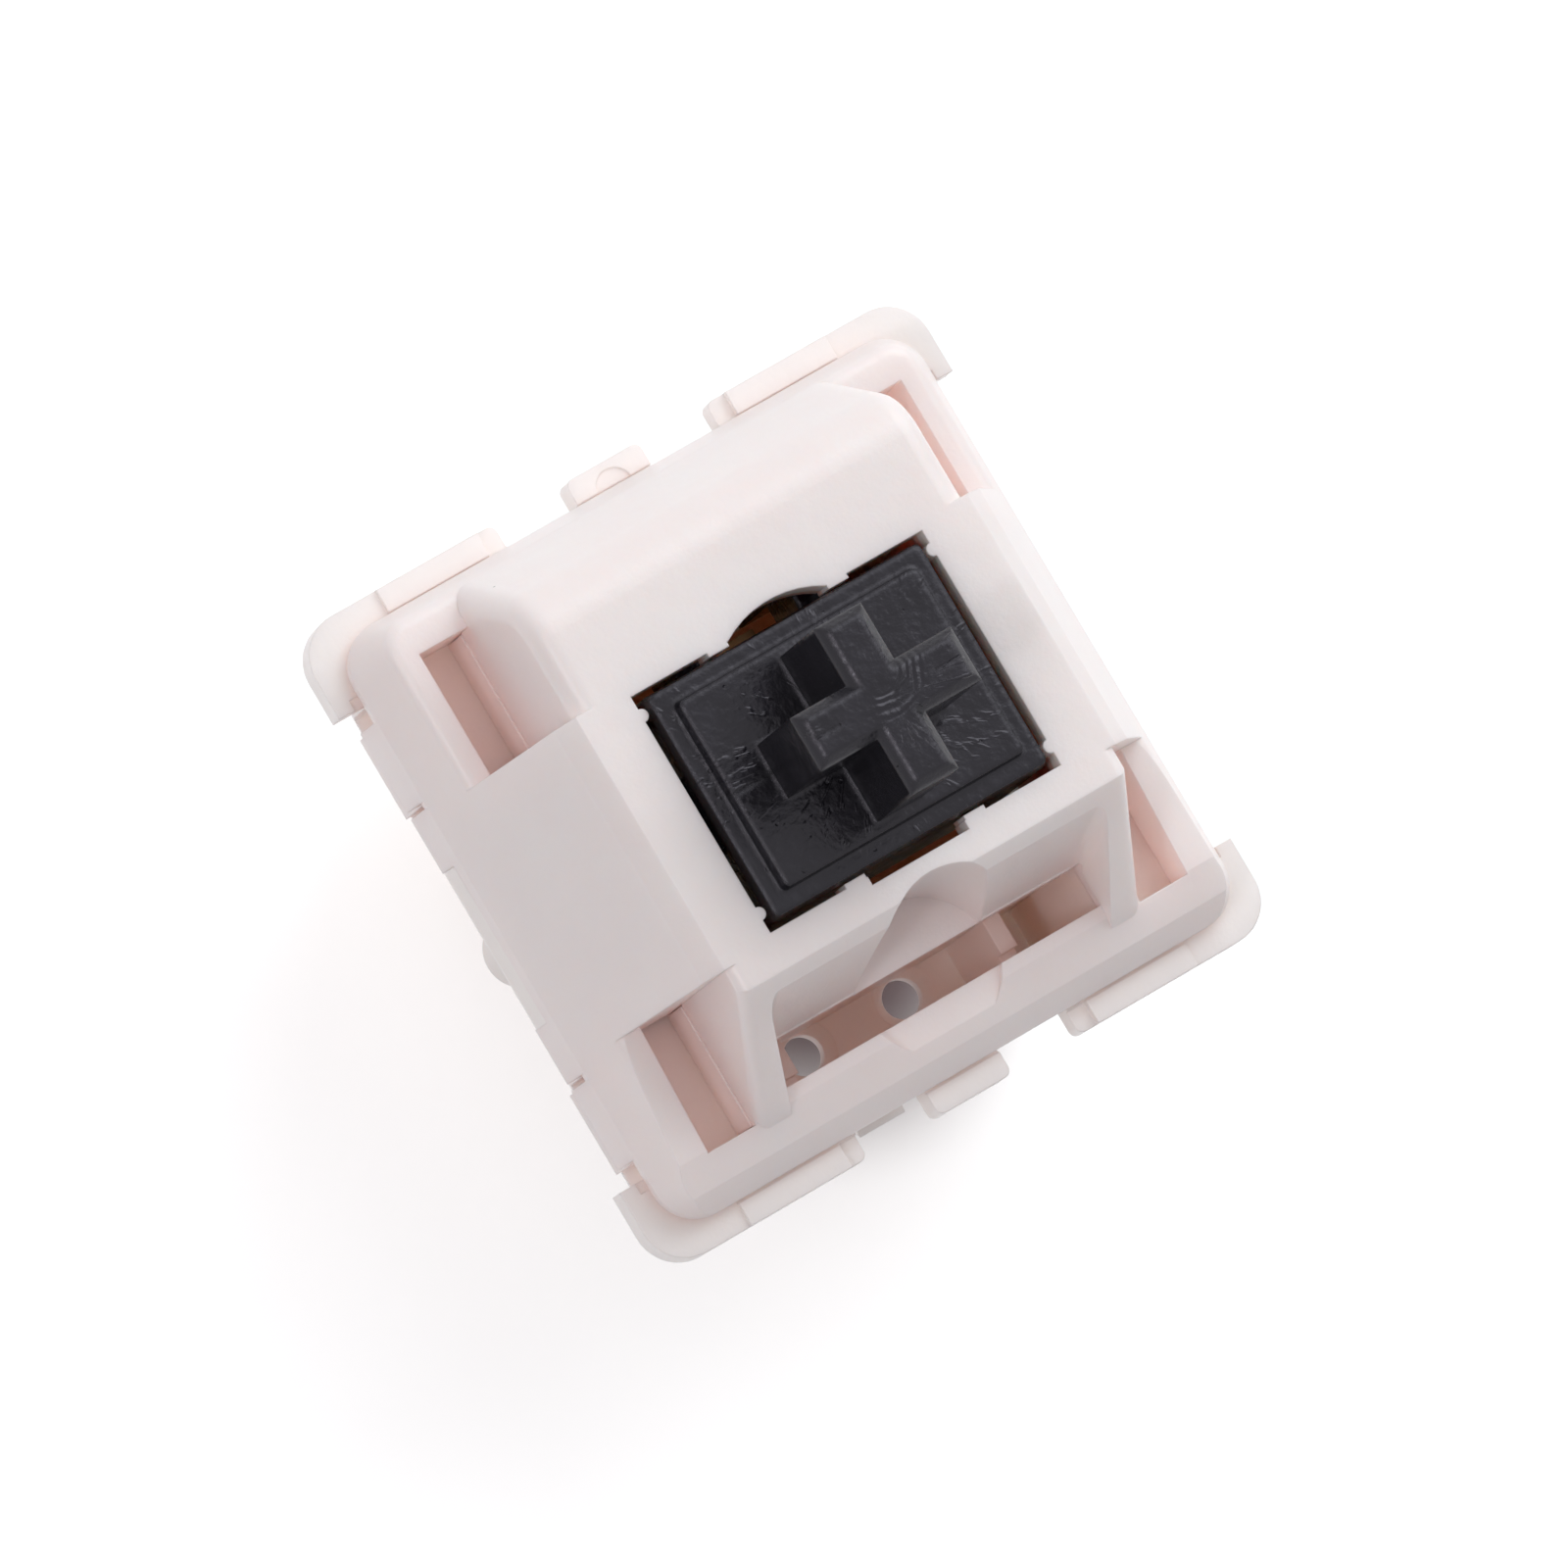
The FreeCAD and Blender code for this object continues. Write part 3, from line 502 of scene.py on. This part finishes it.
def wire_mesh(name, path):
    """Round wire along a path that winds about the upright axis, closed at both ends."""
    vertices = []
    for point in path:
        outwards = Vector((point.x, point.y, 0)).normalized()
        for side in range(WIRE_SIDES):
            turn = 2 * math.pi * side / WIRE_SIDES
            offset = outwards * math.cos(turn) + Vector((0, 0, 1)) * math.sin(turn)
            vertices.append(point + offset * SPRING_WIRE / 2)
    faces = []
    for ring in range(len(path) - 1):
        for side in range(WIRE_SIDES):
            here = ring * WIRE_SIDES + side
            beside = ring * WIRE_SIDES + (side + 1) % WIRE_SIDES
            faces.append((here, here + WIRE_SIDES, beside + WIRE_SIDES, beside))
    last = len(vertices) - WIRE_SIDES
    faces.append(tuple(range(WIRE_SIDES)))
    faces.append(tuple(reversed(range(last, last + WIRE_SIDES))))
    mesh = bpy.data.meshes.new(name)
    mesh.from_pydata(vertices, [], faces)
    for face in mesh.polygons:
        face.use_smooth = len(face.vertices) == 4
    return mesh


def make_spring(steel):
    """Round-wire return spring, which takes the CAD spring's place on the housing."""
    mesh = wire_mesh("spring_coil", spring_path())
    mesh.materials.append(steel)
    coil = bpy.data.objects.new("spring_coil", mesh)
    bpy.context.scene.collection.objects.link(coil)
    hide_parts("return_spring")
    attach(coil, "housing")
    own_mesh(coil)


def camera_axes():
    """Camera's right, up and back directions from its tilts and its roll."""
    west = math.radians(TILT_WEST_DEG)
    south = math.radians(TILT_SOUTH_DEG)
    back = Vector((
        -math.sin(west) * math.cos(south), -math.sin(south), math.cos(west) * math.cos(south)
    ))
    east = Vector((1, 0, 0))
    east_seen = (east - back * east.dot(back)).normalized()
    north_seen = back.cross(east_seen)
    roll = math.radians(ROLL_DEG)
    right = east_seen * math.cos(roll) - north_seen * math.sin(roll)
    up = east_seen * math.sin(roll) + north_seen * math.cos(roll)
    return right, up, back


def make_camera():
    """Long-lens camera at the photograph's angle."""
    right, up, back = camera_axes()
    data = bpy.data.cameras.new("camera")
    data.sensor_width = SENSOR_MM
    data.lens = PIXELS_PER_MM * VIEW_DISTANCE / MM * SENSOR_MM / IMAGE_WIDTH_PX
    data.clip_start = CLIP_START
    data.clip_end = CLIP_END
    camera = bpy.data.objects.new("camera", data)
    bpy.context.scene.collection.objects.link(camera)
    middle = IMAGE_WIDTH_PX / 2
    shift_right = (middle - AIM_PX[0]) / PIXELS_PER_MM * MM
    shift_up = (AIM_PX[1] - middle) / PIXELS_PER_MM * MM
    aim = Vector((0, 0, AIM_Z)) + right * shift_right + up * shift_up
    matrix = camera.matrix_world.to_3x3()
    matrix.col[0] = right
    matrix.col[1] = up
    matrix.col[2] = back
    camera.matrix_world = matrix.to_4x4()
    camera.location = aim + back * VIEW_DISTANCE
    bpy.context.scene.camera = camera


def seen_directly(tree):
    """One where the camera, a reflection or clear plastic looks, and nought for other light."""
    path = tree.nodes.new("ShaderNodeLightPath")
    seen = path.outputs["Is Camera Ray"]
    for name in ("Is Glossy Ray", "Is Transmission Ray"):
        seen = calculated(tree, "MAXIMUM", seen, path.outputs[name])
    return seen


def beside_object(tree):
    """Nought on the floor right under the object, where the shadow is painted, and one beside it."""
    place = scaled_place(tree, FLOOR_SHADE_CENTRE, FLOOR_SHADE_HALF)
    outwards = vector_node(tree, "LENGTH", place).outputs["Value"]
    return rising(tree, outwards, *FLOOR_SHADE_LIMITS)


def make_floor():
    """Pale floor under the pins, seen nearly white, with the object's soft cast shadow and a painted
    shadow right under it.
    """
    mesh = bpy.data.meshes.new("floor")
    signs = ((-1, -1), (1, -1), (1, 1), (-1, 1))
    corners = [(east * FLOOR_HALF, north * FLOOR_HALF, 0) for east, north in signs]
    mesh.from_pydata(corners, [], [(0, 1, 2, 3)])
    floor = bpy.data.objects.new("floor", mesh)
    floor.location = (0, 0, cad_bounds[0].z)
    bpy.context.scene.collection.objects.link(floor)
    material, tree, shader = new_material("floor_paper")
    # Painted shadow right under the object: the paper turns dark there and the lift is taken away
    beside = beside_object(tree)
    paper = ramp_between(tree, beside, FLOOR_PAINTED_SHADOW, FLOOR_PAPER, 0, 1)
    tree.links.new(paper, shader.inputs["Base Color"])
    set_values(shader, {"Roughness": FLOOR_ROUGHNESS, "Emission Color": WHITE})
    lift = product(tree, seen_directly(tree), beside, FLOOR_LIFT)
    tree.links.new(lift, shader.inputs["Emission Strength"])
    mesh.materials.append(material)


def make_lamps():
    """Soft square lamps that face the switch."""
    for name, (place, size, power, tint) in LAMPS.items():
        data = bpy.data.lights.new(name, "AREA")
        data.color = tint
        data.size = size
        data.energy = power
        lamp = bpy.data.objects.new(name, data)
        bpy.context.scene.collection.objects.link(lamp)
        lamp.location = place
        lamp.rotation_euler = (Vector(place) * -1).to_track_quat("-Z", "Y").to_euler()


def make_world():
    """White surroundings, seen at full white, and as a light dimmer and darker to the south."""
    world = bpy.data.worlds.new("studio")
    world.use_nodes = True
    tree = world.node_tree
    background = tree.nodes["Background"]
    direction = tree.nodes.new("ShaderNodeTexCoord").outputs["Generated"]
    _, northwards, _ = parts_of(tree, direction)
    light = tree.nodes.new("ShaderNodeMapRange")
    set_values(light, {
        "From Min": SOUTH_HORIZON,
        "From Max": SOUTH_END,
        "To Min": WORLD_LIGHT_SOUTH,
        "To Max": WORLD_LIGHT,
    })
    tree.links.new(northwards, light.inputs["Value"])
    seen = seen_directly(tree)
    strength = tree.nodes.new("ShaderNodeMapRange")
    tree.links.new(seen, strength.inputs["Value"])
    tree.links.new(light.outputs["Result"], strength.inputs["To Min"])
    tint = ramp_between(tree, seen, (*WARM_LIGHT, 1), WHITE, 0, 1)
    tree.links.new(tint, background.inputs["Color"])
    tree.links.new(strength.outputs["Result"], background.inputs["Strength"])
    bpy.context.scene.world = world


def set_up_render():
    """Plain view transform, and light followed deep enough for pale hollows."""
    scene = bpy.context.scene
    scene.view_settings.view_transform = "Standard"
    scene.cycles.max_bounces = LIGHT_BOUNCES
    scene.cycles.diffuse_bounces = LIGHT_BOUNCES


dress_nodes()
make_camera()
make_floor()
make_world()
make_lamps()
set_up_render()
